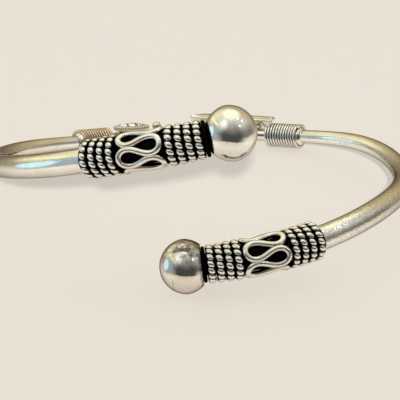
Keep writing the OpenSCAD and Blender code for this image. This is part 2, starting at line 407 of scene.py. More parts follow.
def wrapTree():
    # A close coil round the bar, its first end lifted off as a short tail
    floats = ["Place", "Radius", "Wire Radius", "Turns", "Pitch", "Turn", "Tail Hold", "Tail Rise", "Tail Power",
              "Tail Run", "End Bare", "Low", "High"]
    tree, given = newTree("wireWrap", floats, ["Steps", "Sides", "Tail Steps"])
    guide = toCurve(tree, given["Geometry"])
    coilSteps = times(tree, given["Turns"], given["Steps"])
    count = plus(tree, plus(tree, coilSteps, given["Tail Steps"]), 1.0)
    wire = toCurve(tree, put(tree, "GeometryNodeMeshLine", {"Count": count}).outputs["Mesh"])
    signed = minus(tree, stepIn(tree), given["Tail Steps"])
    turns = calc(tree, "DIVIDE", calc(tree, "MAXIMUM", signed, given["Tail Hold"]), given["Steps"])
    tail = calc(tree, "MAXIMUM", times(tree, signed, -1.0), 0.0)
    tailShare = calc(tree, "DIVIDE", tail, calc(tree, "MAXIMUM", given["Tail Steps"], 1.0))
    half = times(tree, given["Turns"], 0.5)
    place = plus(tree, given["Place"], times(tree, minus(tree, turns, half), given["Pitch"]))
    place = minus(tree, place, times(tree, tailShare, given["Tail Run"]))
    lift = times(tree, calc(tree, "POWER", tailShare, given["Tail Power"]), given["Tail Rise"])
    turn = calc(tree, "MULTIPLY_ADD", turns, 2 * pi, given["Turn"])
    position = besideBar(tree, guide, place, plus(tree, given["Radius"], lift), turn)
    # The first and the last turn are bare all over, so that no black ring shows at an end: in turns,
    # how far a point lies past the coil's nearer end
    outside = minus(tree, calc(tree, "ABSOLUTE", minus(tree, turns, half)), half)
    wire = store(tree, wire, "endTurn", mapped(tree, outside, -1.05, -0.9, 0.0, given["End Bare"]))
    placed = moved(tree, wire, Position=position)
    mesh = sweep(tree, placed, circleCurve(tree, given["Sides"], given["Wire Radius"]), 1.0)
    mesh = heightOverBar(tree, mesh, given)
    mesh = store(tree, mesh, "height", plus(tree, attributeIn(tree, "height"), attributeIn(tree, "endTurn")))
    return endTree(tree, mesh, given)


def barTree():
    # A round bar along its centreline, as thick as each point says
    tree, given = newTree("taperedBar", [], ["Sides"])
    far = put(tree, "GeometryNodeSplineParameter").outputs["Length"]
    path = store(tree, toCurve(tree, given["Geometry"]), "lengthwise", far)
    spot = axes(tree, positionIn(tree))
    profile = store(tree, circleCurve(tree, given["Sides"], 1.0), "aroundX", spot["X"])
    profile = store(tree, profile, "aroundY", spot["Y"])
    mesh = sweep(tree, path, profile, attributeIn(tree, "thickness"))
    # Where a point lies round and along the bar, for its scratches
    space = put(tree, "ShaderNodeCombineXYZ", {
        axis: attributeIn(tree, name) for axis, name in (("X", "aroundX"), ("Y", "aroundY"), ("Z", "lengthwise"))})
    mesh = store(tree, mesh, "barSpace", space.outputs[0], "FLOAT_VECTOR")
    return endTree(tree, mesh, given)


def keepByNodes(name, base, tree, values, node, finish):
    values = {**values, "Material": finishes[finish]}
    modifier = base.modifiers.new(name, "NODES")
    modifier.node_group = tree
    for item in tree.interface.items_tree:
        if item.item_type == "SOCKET" and item.in_out == "INPUT" and item.name in values:
            modifier[item.identifier] = values[item.name]
    evaluated = base.evaluated_get(bpy.context.evaluated_depsgraph_get())
    mesh = bpy.data.meshes.new_from_object(evaluated)
    mesh.name = name
    base.modifiers.remove(modifier)
    oldMesh = base.data
    bpy.data.objects.remove(base)
    bpy.data.meshes.remove(oldMesh)
    piece = linkObject(name, mesh)
    keepPiece(piece, node, finish)
    return piece


# The guide: a fine polyline on the centreline, with its length at every angle
guidePoints = [centreAt(ring["guideFrom"] + ring["guideStep"] * i) for i in range(ring["guideSteps"] + 1)]
guideLengths = [0.0]
for i in range(1, len(guidePoints)):
    guideLengths.append(guideLengths[-1] + (guidePoints[i] - guidePoints[i - 1]).length)


def lengthAt(angle):
    place = (angle - ring["guideFrom"]) / ring["guideStep"]
    i = min(max(int(place), 0), len(guideLengths) - 2)
    return guideLengths[i] + (place - i) * (guideLengths[i + 1] - guideLengths[i])


# Finishes

def mixed(tree, factor, a, b):
    node = put(tree, "ShaderNodeMix", {"Factor": factor, "A": a, "B": b}, data_type="RGBA")
    return pick(node.outputs, "Result")


def ramp(tree, factor, stops):
    node = put(tree, "ShaderNodeValToRGB", {"Fac": mapped(tree, factor, -1.0, 1.0)})
    elements = node.color_ramp.elements
    while len(elements) < len(stops):
        elements.new(0.5)
    for element, (place, colour) in zip(elements, stops):
        element.position = (place + 1) / 2
        element.color = (*colour, 1)
    return node.outputs["Color"]


def noiseAt(tree, where, scale, detail=2.0, stretch=None):
    if stretch:
        where = put(tree, "ShaderNodeMapping", {"Vector": where, "Scale": stretch}).outputs["Vector"]
    node = put(tree, "ShaderNodeTexNoise", {"Vector": where, "Scale": scale, "Detail": detail})
    return node.outputs["Fac"]


def newMaterial(name):
    material = bpy.data.materials.new(name)
    material.use_nodes = True
    return material, material.node_tree, material.node_tree.nodes["Principled BSDF"]


def whereIn(tree, space="Object"):
    return put(tree, "ShaderNodeTexCoord").outputs[space]


def silverFinish(name, look):
    material, tree, shader = newMaterial(name)
    where = whereIn(tree)
    # Warm tarnish in slow clouds, on the setting and the left wrap also a painted warm reflection; a trace of dirt
    # in small ones
    cloud = mapped(tree, noiseAt(tree, where, look["cloudScale"], 4.0), *look["clouds"])
    colour = mixed(tree, times(tree, cloud, look["tarnishAndReflection"]), look["silver"], look["warm"])
    specks = mapped(tree, noiseAt(tree, where, look["speckScale"]), *look["specks"])
    colour = mixed(tree, times(tree, specks, look["dirt"]), colour, look["oxide"])
    # Hair-thin scratches
    scratchSpace = where
    if look.get("space"):
        scratchSpace = put(tree, "ShaderNodeAttribute", attribute_name=look["space"]).outputs["Vector"]
    lines = noiseAt(tree, scratchSpace, look["scratchScale"], 2.0, look["scratchStretch"])
    scratch = mapped(tree, lines, *look["scratches"])
    rough = calc(tree, "MULTIPLY_ADD", scratch, look["scratchRough"], look["rough"])
    rough = calc(tree, "MULTIPLY_ADD", cloud, look["cloudRough"], rough)
    # Blackened recesses: attributes say how far out of the recess a point stands
    if look.get("recess"):
        worn = minus(tree, noiseAt(tree, where, look["wornScale"]), 0.5)
        height = put(tree, "ShaderNodeAttribute", attribute_name="height").outputs["Fac"]
        out = calc(tree, "MULTIPLY_ADD", worn, look["recessNoise"], height)
        bare = mapped(tree, out, *look["recess"], smoothly=True)
        if look.get("coreRecess"):
            core = put(tree, "ShaderNodeAttribute", attribute_name="core").outputs["Fac"]
            bare = times(tree, bare, mapped(tree, core, *look["coreRecess"], smoothly=True))
        colour = mixed(tree, bare, look["oxide"], colour)
        rough = plus(tree, rough, mapped(tree, bare, 0.0, 1.0, look["oxideRough"], 0.0))
    # Small dents and the grooves of the scratches
    dents = put(tree, "ShaderNodeBump", {
        "Height": noiseAt(tree, where, look["dentScale"]), "Distance": look["dentDepth"]})
    grooves = put(tree, "ShaderNodeBump", {
        "Height": scratch, "Strength": look["scratchStrength"], "Distance": look["scratchDepth"],
        "Normal": dents.outputs["Normal"]}, invert=True)
    normal = grooves.outputs["Normal"]
    if look.get("fleckStretch"):
        # Brushed on the right, towards the front
        flecks = noiseAt(tree, scratchSpace, 1.0, 1.0, look["fleckStretch"])
        spot = axes(tree, where)
        brushed = mapped(tree, spot["Y"], *look["fleckFront"])
        brushed = times(tree, brushed, mapped(tree, spot["X"], *look["fleckRight"]))
        normal = put(tree, "ShaderNodeBump", {
            "Height": flecks, "Strength": mapped(tree, brushed, 0.0, 1.0, look["fleckLeast"], 1.0),
            "Distance": look["fleckDepth"], "Normal": normal}).outputs["Normal"]
        shiny = times(tree, mapped(tree, flecks, *look["flecks"]), brushed)
        colour = mixed(tree, shiny, colour, look["fleckColour"])
    fill(tree, shader, {"Base Color": colour, "Metallic": 1.0, "Roughness": rough, "Normal": normal,
                        "Specular Tint": look["rimTint"]})
    return material


# What the silvers share, and what each has of its own. Scales are per metre, depths in metres, and
# a pair says between which noise values a mark fades in.
plainLook = {
    "silver": (0.93, 0.92, 0.9), "warm": (0.78, 0.7, 0.57), "oxide": (0.006, 0.005, 0.005),
    "rimTint": (0.4, 0.38, 0.36), "rough": 0.12,
    "tarnishAndReflection": 0.35, "cloudScale": 180.0, "clouds": (0.42, 0.66), "cloudRough": 0.05,
    "dirt": 0.15, "speckScale": 2600.0, "specks": (0.62, 0.72),
    "scratchScale": 900.0, "scratchStretch": (1.0, 1.0, 6.0), "scratches": (0.6, 0.68),
    "scratchRough": 0.1, "scratchDepth": 0.00001, "scratchStrength": 0.3,
    "dentScale": 420.0, "dentDepth": 0.00003, "wornScale": 1500.0, "recessNoise": 0.12, "oxideRough": 0.35,
}
ballMarks = dict(dentScale=330.0, dentDepth=0.00007, scratchRough=0.06, scratchDepth=0.000002,
                 recess=(-0.02, 0.13), oxideRough=0.2)
looks = {
    "barSilver": dict(
        silver=(0.96, 0.95, 0.93), rimTint=(0.34, 0.31, 0.26), rough=0.05, cloudRough=0.03, dirt=0.3,
        space="barSpace", scratchScale=1.0, scratchStretch=(11.0, 11.0, 160.0), scratchRough=0.12,
        scratchDepth=0.00002, fleckStretch=(15.0, 15.0, 1900.0), fleckDepth=0.000022, fleckLeast=0.06,
        fleckFront=(0.002, -0.01), fleckRight=(-0.004, 0.012), flecks=(0.5, 0.6),
        fleckColour=(0.66, 0.645, 0.62)),
    "ballSilver": dict(
        ballMarks, rough=0.075, tarnishAndReflection=0.25, dirt=0.12, recessNoise=0.22, oxide=(0.1, 0.095, 0.09)),
    "rightBallSilver": dict(
        ballMarks, silver=(0.83, 0.81, 0.79), rimTint=(0.22, 0.17, 0.18), rough=0.055,
        tarnishAndReflection=0.6, dirt=0.2, recessNoise=0.3, oxide=(0.16, 0.14, 0.13)),
    "ropeSilver": dict(rough=0.13, recess=(0.56, 0.78), dentDepth=0.00006, recessNoise=0.16, tarnishAndReflection=0.2),
    "serpentineSilver": dict(rough=0.2, recess=(0.46, 0.66), dentDepth=0.00004, dirt=0.25),
    "sleeveOxide": dict(rough=0.22, recess=(0.4, 0.7), recessNoise=0.55, dirt=0.3),
    "wrapSilver": dict(rough=0.18, recess=(0.7, 0.94), tarnishAndReflection=0.4),
    # The left wrap's silver is painted reddish brown: a painted reflection of the brown room
    "wrapBrownReflection": dict(
        silver=(0.84, 0.7, 0.58), warm=(0.5, 0.29, 0.19), rough=0.16, recess=(0.72, 0.95), tarnishAndReflection=1.0),
    # The setting's silver is painted olive-yellow: a painted reflection of warm surroundings
    "settingWarmReflection": dict(silver=(0.78, 0.73, 0.56), warm=(0.58, 0.5, 0.3), rough=0.2, tarnishAndReflection=0.8),
    "rimSilver": dict(silver=(0.92, 0.89, 0.8), rough=0.16, recess=(-0.2, -0.1), coreRecess=(0.7, 0.94)),
    "leafSilver": dict(
        silver=(0.92, 0.9, 0.84), warm=(0.64, 0.59, 0.45), rough=0.16, tarnishAndReflection=0.55, cloudScale=500.0,
        dirt=0.3),
    "granuleSilver": dict(silver=(0.86, 0.81, 0.62), warm=(0.68, 0.6, 0.36), rough=0.15, tarnishAndReflection=0.8),
}
finishes = {name: silverFinish(name, {**plainLook, **changes}) for name, changes in looks.items()}
# The stone's sparkle is painted: each cell of a pattern is white to lilac (painted highlights and fire), some are
# peach (painted fire) and some dark (painted shade of facets)
stone = {
    "white": (0.97, 0.97, 0.98), "lilac": (0.56, 0.48, 0.84), "peach": (0.92, 0.6, 0.42),
    "peachy": (0.55, 0.8), "shade": (0.1, 0.1, 0.12), "shady": (0.6, 0.66),
    "cellScale": 2500.0, "rough": 0.05, "ior": 1.75, "clear": 0.1,
}


def stoneFinish(name):
    material, tree, shader = newMaterial(name)
    # Painted sparkle: white to lilac highlights, peach fire and dark cells of painted facet shade
    cells = put(tree, "ShaderNodeTexVoronoi", {"Vector": whereIn(tree), "Scale": stone["cellScale"]})
    tint = put(tree, "ShaderNodeSeparateColor", {0: cells.outputs["Color"]}).outputs
    colour = mixed(tree, tint[0], stone["white"], stone["lilac"])
    colour = mixed(tree, mapped(tree, tint[1], *stone["peachy"]), colour, stone["peach"])
    colour = mixed(tree, mapped(tree, tint[2], *stone["shady"]), colour, stone["shade"])
    fill(tree, shader, {"Base Color": colour, "Roughness": stone["rough"], "IOR": stone["ior"],
                        "Transmission Weight": stone["clear"]})
    return material


finishes["paintedSparkleStone"] = stoneFinish("paintedSparkleStone")
print("finishes:", len(finishes))

# Bar: a spigot in each cap, and a thicker core with sloping ends under each wrap
bar = {
    "sides": 64, "step": 0.4, "edge": 0.02, "spigotRadius": 1.2, "spigotLength": 3.0, "gap": 0.05,
    "wraps": {"left": -31.0, "right": 32.2}, "coreAt": 31, "coreHalf": 3.6, "coreSlope": 0.35, "coreRadius": 1.64,
}


def barRows():
    shoulders = [capAngle(cap, cap["length"] + bar["gap"]) for cap in caps.values()]
    tips = [capAngle(cap, cap["length"] - bar["spigotLength"]) for cap in caps.values()]
    half, flat = (v / mmPerDegree(bar["coreAt"]) for v in (bar["coreHalf"], bar["coreHalf"] - bar["coreSlope"]))
    edge, wraps = bar["edge"], bar["wraps"].values()
    marks = shoulders + [w + d for w in wraps for d in (-half, -flat, flat, half)]
    angles = [a for m in marks for a in (m - edge, m + edge)] + tips
    count = int((tips[1] - tips[0]) / bar["step"])
    angles += [tips[0] + (tips[1] - tips[0]) * i / count for i in range(1, count)]
    rows = []
    for a in sorted(angles):
        if rows and a - rows[-1][0] < edge:
            continue
        radius = barRadius(a)
        inside = half - min(abs(a - w) for w in wraps)
        if a < shoulders[0] or a > shoulders[1]:
            radius = bar["spigotRadius"]
        elif inside > 0:
            radius += (bar["coreRadius"] - radius) * sqrt(min(inside / (half - flat), 1.0))
        rows.append((a, radius))
    return rows


rows = barRows()
barBase = pathObject("path", [centreAt(a) for a, r in rows])
thickness = barBase.data.attributes.new("thickness", "FLOAT", "POINT")
thickness.data.foreach_set("value", [r * mm for a, r in rows])
barPiece = keepByNodes("roundBar", barBase, barTree(), {"Sides": bar["sides"]}, "bar", "barSilver")
print("bar:", len(barPiece.data.polygons), "faces")


# Balls: two shallow domes, the seam between them rounded over
def ballProfile(out, crack):
    across = ball["diameter"] ** 2 / (2 * ball["length"])
    dome = (across + ball["length"] / 2) / 2
    apart = (across - ball["length"] / 2) / 2
    low = bar["gap"] - out
    rows = [(low, 0.0)]
    for i in range(ball["rings"] + 1):
        x = low + (ball["length"] / 2 - low) * (1 - cos(pi * i / ball["rings"])) / 2
        reach = sqrt(max(dome ** 2 - (abs(x) + apart) ** 2, 0.0))
        soft = max(1 - (x / ball["seam"]) ** 2, 0.0)
        rows.append((x, reach - ball["seamDepth"] * soft ** 2))
    rows[-1] = (ball["length"] / 2, 0.0)
    if crack:
        # A narrow groove, its floor a little lower than its edges
        half, slope = ball["crackHalf"], ball["crackSlope"]
        rows = [r for r in rows if abs(r[0] - crack) > half + ball["crackRoom"]]
        for x, deep in ((-half - slope, 0), (-half, 1), (half, 1), (half + slope, 0)):
            reach = sqrt(dome ** 2 - (crack + x + apart) ** 2)
            rows.append((crack + x, reach - deep * ball["crackDepth"]))
        rows.sort(key=lambda row: (row[0], -row[1] if row[0] > 0 else row[1]))
    return rows


def turned(origin, axis, rows, sides):
    # Rings round an axis, from rows of places along it and radii
    sideways = axis.orthogonal().normalized()
    upward = axis.cross(sideways)
    ways = [cos(a) * sideways + sin(a) * upward for a in (2 * pi * k / sides for k in range(sides))]
    return [[origin + x * axis + reach * way for way in (ways if reach > nothing else ways[:1])]
            for x, reach in rows]


for capName, cap in caps.items():
    face = cap["side"] * cap["reach"]
    way = cap["side"] * forwardAt(face)
    middle = centreAt(face) + cap["ballOut"] * way
    crack, grime = ball["crack"][capName], ball["grime"][capName]
    profile = ballProfile(cap["ballOut"], crack)
    piece = skinObject(capName + "Ball", turned(middle, way, profile, ball["sides"]))
    clean = []
    for v in piece.data.vertices:
        arm = v.co / mm - middle
        out = arm.dot(way)
        bare = min((out + cap["ballOut"]) / ball["stain"], 1.0)
        if crack and abs(out - crack) < ball["crackHalf"] + ball["crackDark"] and arm.z < ball["crackBelow"]:
            bare = 0.0
        if grime:
            bare = min(bare, grime[1] + grime[2] * (1 - arm.normalized().dot(Vector(grime[0]).normalized())))
        clean.append(bare)
    storeHeights(piece, clean)
    keepPiece(piece, capName + "_ball", ball["finish"][capName])
print("balls done")

# Sleeves: distance from the cap's face, radius, and how bare the metal is
sleeve = {
    "sides": 64,
    "rows": [
        (0.0, 2.3, 0.0), (0.03, 2.5, 0.0), (0.12, 2.62, 0.05), (0.3, 2.66, 0.1), (0.45, 2.6, 0.05),
        (0.53, 2.4, 0.0), (0.55, 1.6, 0.0), (3.0, 1.6, 0.0), (5.6, 1.6, 0.0), (5.66, 1.95, 0.1),
        (5.8, 2.0, 0.25), (7.4, 2.0, 0.3), (9.04, 2.0, 0.35), (10.7, 2.0, 0.3), (12.3, 2.0, 0.25),
        (12.41, 1.95, 0.1), (12.44, 1.6, 0.0), (15.0, 1.6, 0.0), (17.62, 1.6, 0.0), (17.64, 2.4, 0.8),
        (17.7, 2.5, 1.0), (17.78, 2.5, 1.0), (17.84, 2.42, 1.0), (17.85, 2.2, 0.3), (17.85, 1.25, 0.0),
        (14.8, 1.25, 0.0),
    ],
}
for capName, cap in caps.items():
    rings = [[beside(capPlace(cap, row[0]), row[1], cap["side"] * 360 * k / sleeve["sides"])
              for k in range(sleeve["sides"])] for row in sleeve["rows"]]
    piece = skinObject(capName + "Sleeve", rings)
    storeHeights(piece, [row[2] for row in sleeve["rows"] for k in range(sleeve["sides"])])
    keepPiece(piece, capName + "_sleeve", "sleeveOxide")
print("sleeves done")

# Ropes: one ring of two twisted strands at each place
rope = {
    "places": [1.22, 2.48, 3.74, 5.0, 13.08, 14.38, 15.68, 16.98],
    "diameter": 1.16, "outerRows": 4, "smaller": 0.05,  # the outer ropes are smaller one by one
    "inputs": {"Strand Radius": 0.32 * mm, "Outward": 0.07 * mm, "Sideways": 0.255 * mm, "Twists": 8.0,
               "Hurry": 0.12, "Swell": 0.58, "Unevenness": 0.12, "Steps": 192, "Sides": 14},
}
twistedWire = twistedWireTree()
for capName, cap in caps.items():
    for i, place in enumerate(rope["places"]):
        radius = capRadius - rope["diameter"] / 2 - max(rope["outerRows"] - 1 - i, 0) * rope["smaller"]
        angle = capPlace(cap, place)
        start, steps = 90 - cap["side"] * (i * 7 % 23), rope["inputs"]["Steps"]
        loop = [beside(angle, radius, start + 360 * k / steps) for k in range(steps)]
        values = {**rope["inputs"], "Seed": 10.0 + i + 20 * cap["side"], "Low": radius * mm,
                  "High": (radius + rope["diameter"] / 2) * mm}
        keepByNodes("%sRope%d" % (capName, i + 1), pathObject("path", loop, closed=True), twistedWire, values,
                    "%s_rope_%d" % (capName, i + 1), "ropeSilver")
print("ropes done")

# Serpentines: the swing is the angle by which the wire turns to either side of its way round
serpentine = {
    "place": 9.04, "turn": {"left": -2.0, "right": 7.0}, "wire": 0.92, "gap": 0.04,
    "inputs": {"Swing": radians(116), "Waves": 5, "Unevenness": 0.1, "Low": 2.0 * mm, "High": capRadius * mm,
               "Steps": 48, "Sides": 14},
}
serpentineNodes = serpentineTree()
for capName, cap in caps.items():
    values = {
        **serpentine["inputs"], "Place": lengthAt(capPlace(cap, serpentine["place"])) * mm,
        "Radius": (capRadius - serpentine["wire"] / 2 - serpentine["gap"]) * mm,
        "Wire Radius": serpentine["wire"] / 2 * mm, "Turn": radians(serpentine["turn"][capName]),
        "Side": float(cap["side"]), "Seed": 3.0 + cap["side"]}
    keepByNodes(capName + "Serpentine", pathObject("path", guidePoints), serpentineNodes, values,
                capName + "_serpentine", "serpentineSilver")
print("serpentines done")

# Wire wraps: the right one's left end is lifted
wrap = {
    "outer": 2.155, "wire": 0.5, "turn": {"left": 0.0, "right": 118.0},
    "tail": {"left": (0, 0.0, 0.0), "right": (8, 1.0, 0.9)},  # steps, rise and run of the lifted end
    # the left wrap's brown is a painted reflection
    "finish": {"left": "wrapBrownReflection", "right": "wrapSilver"},
    # Tail Hold says how far the lifted end still turns, Tail Power how it curves up
    "inputs": {"Turns": 12.0, "Pitch": 0.54 * mm, "Tail Hold": -0.35, "Tail Power": 1.3, "End Bare": 0.9,
               "Steps": 40, "Sides": 12},
}
wrapNodes = wrapTree()
for sideName, wrapAngle in bar["wraps"].items():
    tailSteps, tailRise, tailRun = wrap["tail"][sideName]
    values = {
        **wrap["inputs"], "Place": lengthAt(wrapAngle) * mm, "Radius": (wrap["outer"] - wrap["wire"] / 2) * mm,
        "Wire Radius": wrap["wire"] / 2 * mm, "Turn": radians(wrap["turn"][sideName]),
        "Tail Steps": tailSteps, "Tail Rise": tailRise * mm, "Tail Run": tailRun * mm,
        "Low": (wrap["outer"] - wrap["wire"]) * mm, "High": wrap["outer"] * mm}
    keepByNodes(sideName + "Wrap", pathObject("path", guidePoints), wrapNodes, values,
                sideName + "_wrap", wrap["finish"][sideName])
print("wraps done")

# Setting, its ribbed rim and its stone: half lengths, half widths and heights over the bar's centreline
setting = {
    "at": -17.9, "length": 3.4, "width": 2.0, "top": 2.3, "lean": 8.0, "gap": 0.05, "seat": 1.5, "sides": 96,
    "rim": 0.8, "rimPoints": 240,
    # Low and High are such that the rim is bare at any height, and only its core is black
    "rimInputs": {"Twists": 19.0, "Hurry": 0.0, "Swell": 0.0, "Unevenness": 0.1, "Seed": 5.0, "Steps": 266,
                  "Sides": 10, "Low": -2.0 * mm, "High": -1.0 * mm},
    # the stone's rows of corners: shares of its half length and half width, height over the cup's top,
    # how many corners, and the first one's angle
    "stone": [(0.5, 0.52, 0.35, 8, 22.5), (0.78, 0.8, 0.22, 8, 0.0), (1.0, 1.0, -0.1, 16, 0.0),
              (1.0, 1.0, -0.16, 16, 0.0), (0.3, 0.3, -0.75, 8, 22.5)],
    "stoneInset": 0.25,
}


def oval(halfLength, halfWidth, z, sides, start=0.0):
    points = []
    for k in range(sides):
        a = radians(start + 360 * k / sides)
        points.append(above(setting["at"], halfLength * cos(a), halfWidth * sin(a), z, setting["lean"]))
    return points


bezelLength = setting["length"] - setting["rim"] - setting["gap"]
bezelWidth = setting["width"] - setting["rim"] - setting["gap"]
foot = barRadius(setting["at"]) + setting["gap"]
top = setting["top"]
bezelRows = [
    # inset from the bezel's outline, share of its width, height
    (0.25, 0.7, foot), (0.1, 0.78, foot + 0.06), (0.02, 0.95, foot + 0.2), (0.0, 1.0, foot + 0.3),
    (0.0, 1.0, top - 0.1), (0.02, 1.0, top - 0.03), (0.08, 1.0, top), (0.14, 1.0, top), (0.2, 1.0, top - 0.05),
    (0.2, 1.0, setting["seat"]),
]
rings = [oval(bezelLength - inset, (bezelWidth - inset) * share, z, setting["sides"])
         for inset, share, z in bezelRows]
# The cup's olive-yellow is a painted reflection of warm surroundings
keepPiece(skinObject("settingCup", rings), "setting", "settingWarmReflection")

half, strand = setting["rim"] / 2, setting["rim"] / 4 * mm
rimLoop = oval(setting["length"] - half, setting["width"] - half, top - half, setting["rimPoints"])
values = {**setting["rimInputs"], "Strand Radius": strand, "Outward": strand, "Sideways": strand}
keepByNodes("settingRim", pathObject("path", rimLoop, closed=True), twistedWire, values,
            "setting_rim", "rimSilver")


def cutStone():
    # Table, bezel and star facets, girdle and a shallow pavilion, as the hull of their corners
    halfLength, halfWidth = bezelLength - setting["stoneInset"], bezelWidth - setting["stoneInset"]
    work = bmesh.new()
    for long, wide, up, corners, start in setting["stone"]:
        for p in oval(halfLength * long, halfWidth * wide, top + up, corners, start):
            work.verts.new(p * mm)
    bmesh.ops.convex_hull(work, input=work.verts)
    mesh = bpy.data.meshes.new("facetedStone")
    work.to_mesh(mesh)
    work.free()
    return linkObject("facetedStone", mesh)


# Its sparkle and fire are painted into its colour
keepPiece(cutStone(), "stone", "paintedSparkleStone", smoothShade=False)
print("setting done")

# Leaf: rounded edges, a low rib and a blunt end
leaf = {
    "from": 1.3, "to": 28.5, "steps": 72, "bunch": 0.35,  # how much closer the steps are at the ends
    "halfWidth": 1.3, "underTip": 3.35, "underEnd": 2.7,
    "tip": 0.12, "widenFor": 90 / 400, "widenPower": 0.7, "taper": 0.2,  # its outline
    "thick": 0.6, "edge": 0.65, "corner": 0.12, "cornerShare": 0.4,  # its section
    "across": 12, "ribPower": 1.4,
    "roundTip": 0.012, "roundEnd": 0.02, "endWidth": 0.75, "endThick": 0.5,  # how its ends close
}


def leafRing(angle, halfWidth, under, share):
    edge, rib = leaf["thick"] * leaf["edge"], leaf["thick"]
    corner = min(leaf["corner"], halfWidth * leaf["cornerShare"])
    squash = leaf["endThick"] + (1 - leaf["endThick"]) * share
    flat = halfWidth - corner
    section = [(-flat, 0.0), (flat, 0.0), (halfWidth, corner), (halfWidth, edge - corner)]
    for i in range(leaf["across"] + 1):
        y = flat * (1 - 2 * i / leaf["across"])
        section.append((y, edge + (rib - edge) * (1 - abs(y) / halfWidth) ** leaf["ribPower"]))
    section += [(-halfWidth, edge - corner), (-halfWidth, corner)]
    middle = rib / 2
    return [above(angle, 0, y, under + middle + (z - middle) * squash) for y, z in section]


rings = []
for i in range(leaf["steps"] + 1):
    t = i / leaf["steps"]
    t = t * t * (3 - 2 * t) * leaf["bunch"] + t * (1 - leaf["bunch"])
    widened = sin(min(t / leaf["widenFor"], 1.0) * pi / 2) ** leaf["widenPower"]
    body = (leaf["tip"] + (1 - leaf["tip"]) * widened) * (1 - leaf["taper"] * t * t)
    ends = min(t / leaf["roundTip"], (1 - t) / leaf["roundEnd"], 1.0)
    share = sqrt(max(1 - (1 - ends) ** 2, 0.0))
    rings.append(leafRing(leaf["from"] + (leaf["to"] - leaf["from"]) * t,
                          leaf["halfWidth"] * body * (leaf["endWidth"] + (1 - leaf["endWidth"]) * share),
                          leaf["underTip"] + (leaf["underEnd"] - leaf["underTip"]) * t, share))
keepPiece(skinObject("leafBlade", rings), "leaf", "leafSilver")

# Granules: angle and diameter
granules = {"rows": [(-9.65, 1.6), (6.0, 2.04), (23.3, 1.62)], "gap": 0.05, "sides": 40, "rings": 20}
for number, (angle, diameter) in enumerate(granules["rows"], 1):
    origin = above(angle, 0, 0, barRadius(angle) + granules["gap"] + diameter / 2)
    steps = [pi * i / granules["rings"] for i in range(granules["rings"] + 1)]
    profile = [(-cos(t) * diameter / 2, sin(t) * diameter / 2) for t in steps]
    piece = skinObject("granule%d" % number, turned(origin, upwardAt(angle), profile, granules["sides"]))
    keepPiece(piece, "granule_%d" % number, "granuleSilver")
print("leaf and granules done")

# Floor: part of its light is its own, a little more of it further back, so that shadows stay soft and
# pale and the whole floor looks the same. The metal mirrors the room instead.
floor = {
    "half": 3000.0, "colour": (0.42, 0.392, 0.352), "rough": 0.9,
    # the ramp's ends, -1 and 1, lie this far in front of and behind the middle
    "lightReach": 200.0,
    "ownLight": [(-0.315, (0.31, 0.292, 0.26)), (0, (0.35, 0.33, 0.295)), (0.645, (0.386, 0.364, 0.325))],
}


def makeFloor():
    half = floor["half"]
    corners = [Vector(c) for c in ((-half, -half, 0), (half, -half, 0), (half, half, 0), (-half, half, 0))]
    obj = meshObject("floor", corners, [(0, 1, 2, 3)])
    material, tree, shader = newMaterial("paleFloor")
    place = times(tree, axes(tree, whereIn(tree))["Y"], 1 / (floor["lightReach"] * mm))
    fill(tree, shader, {
        "Base Color": floor["colour"], "Roughness": floor["rough"], "Specular IOR Level": 0.0,
        "Emission Color": ramp(tree, place, floor["ownLight"]), "Emission Strength": 1.0})
    obj.data.materials.append(material)
    obj.visible_glossy = False


makeFloor()

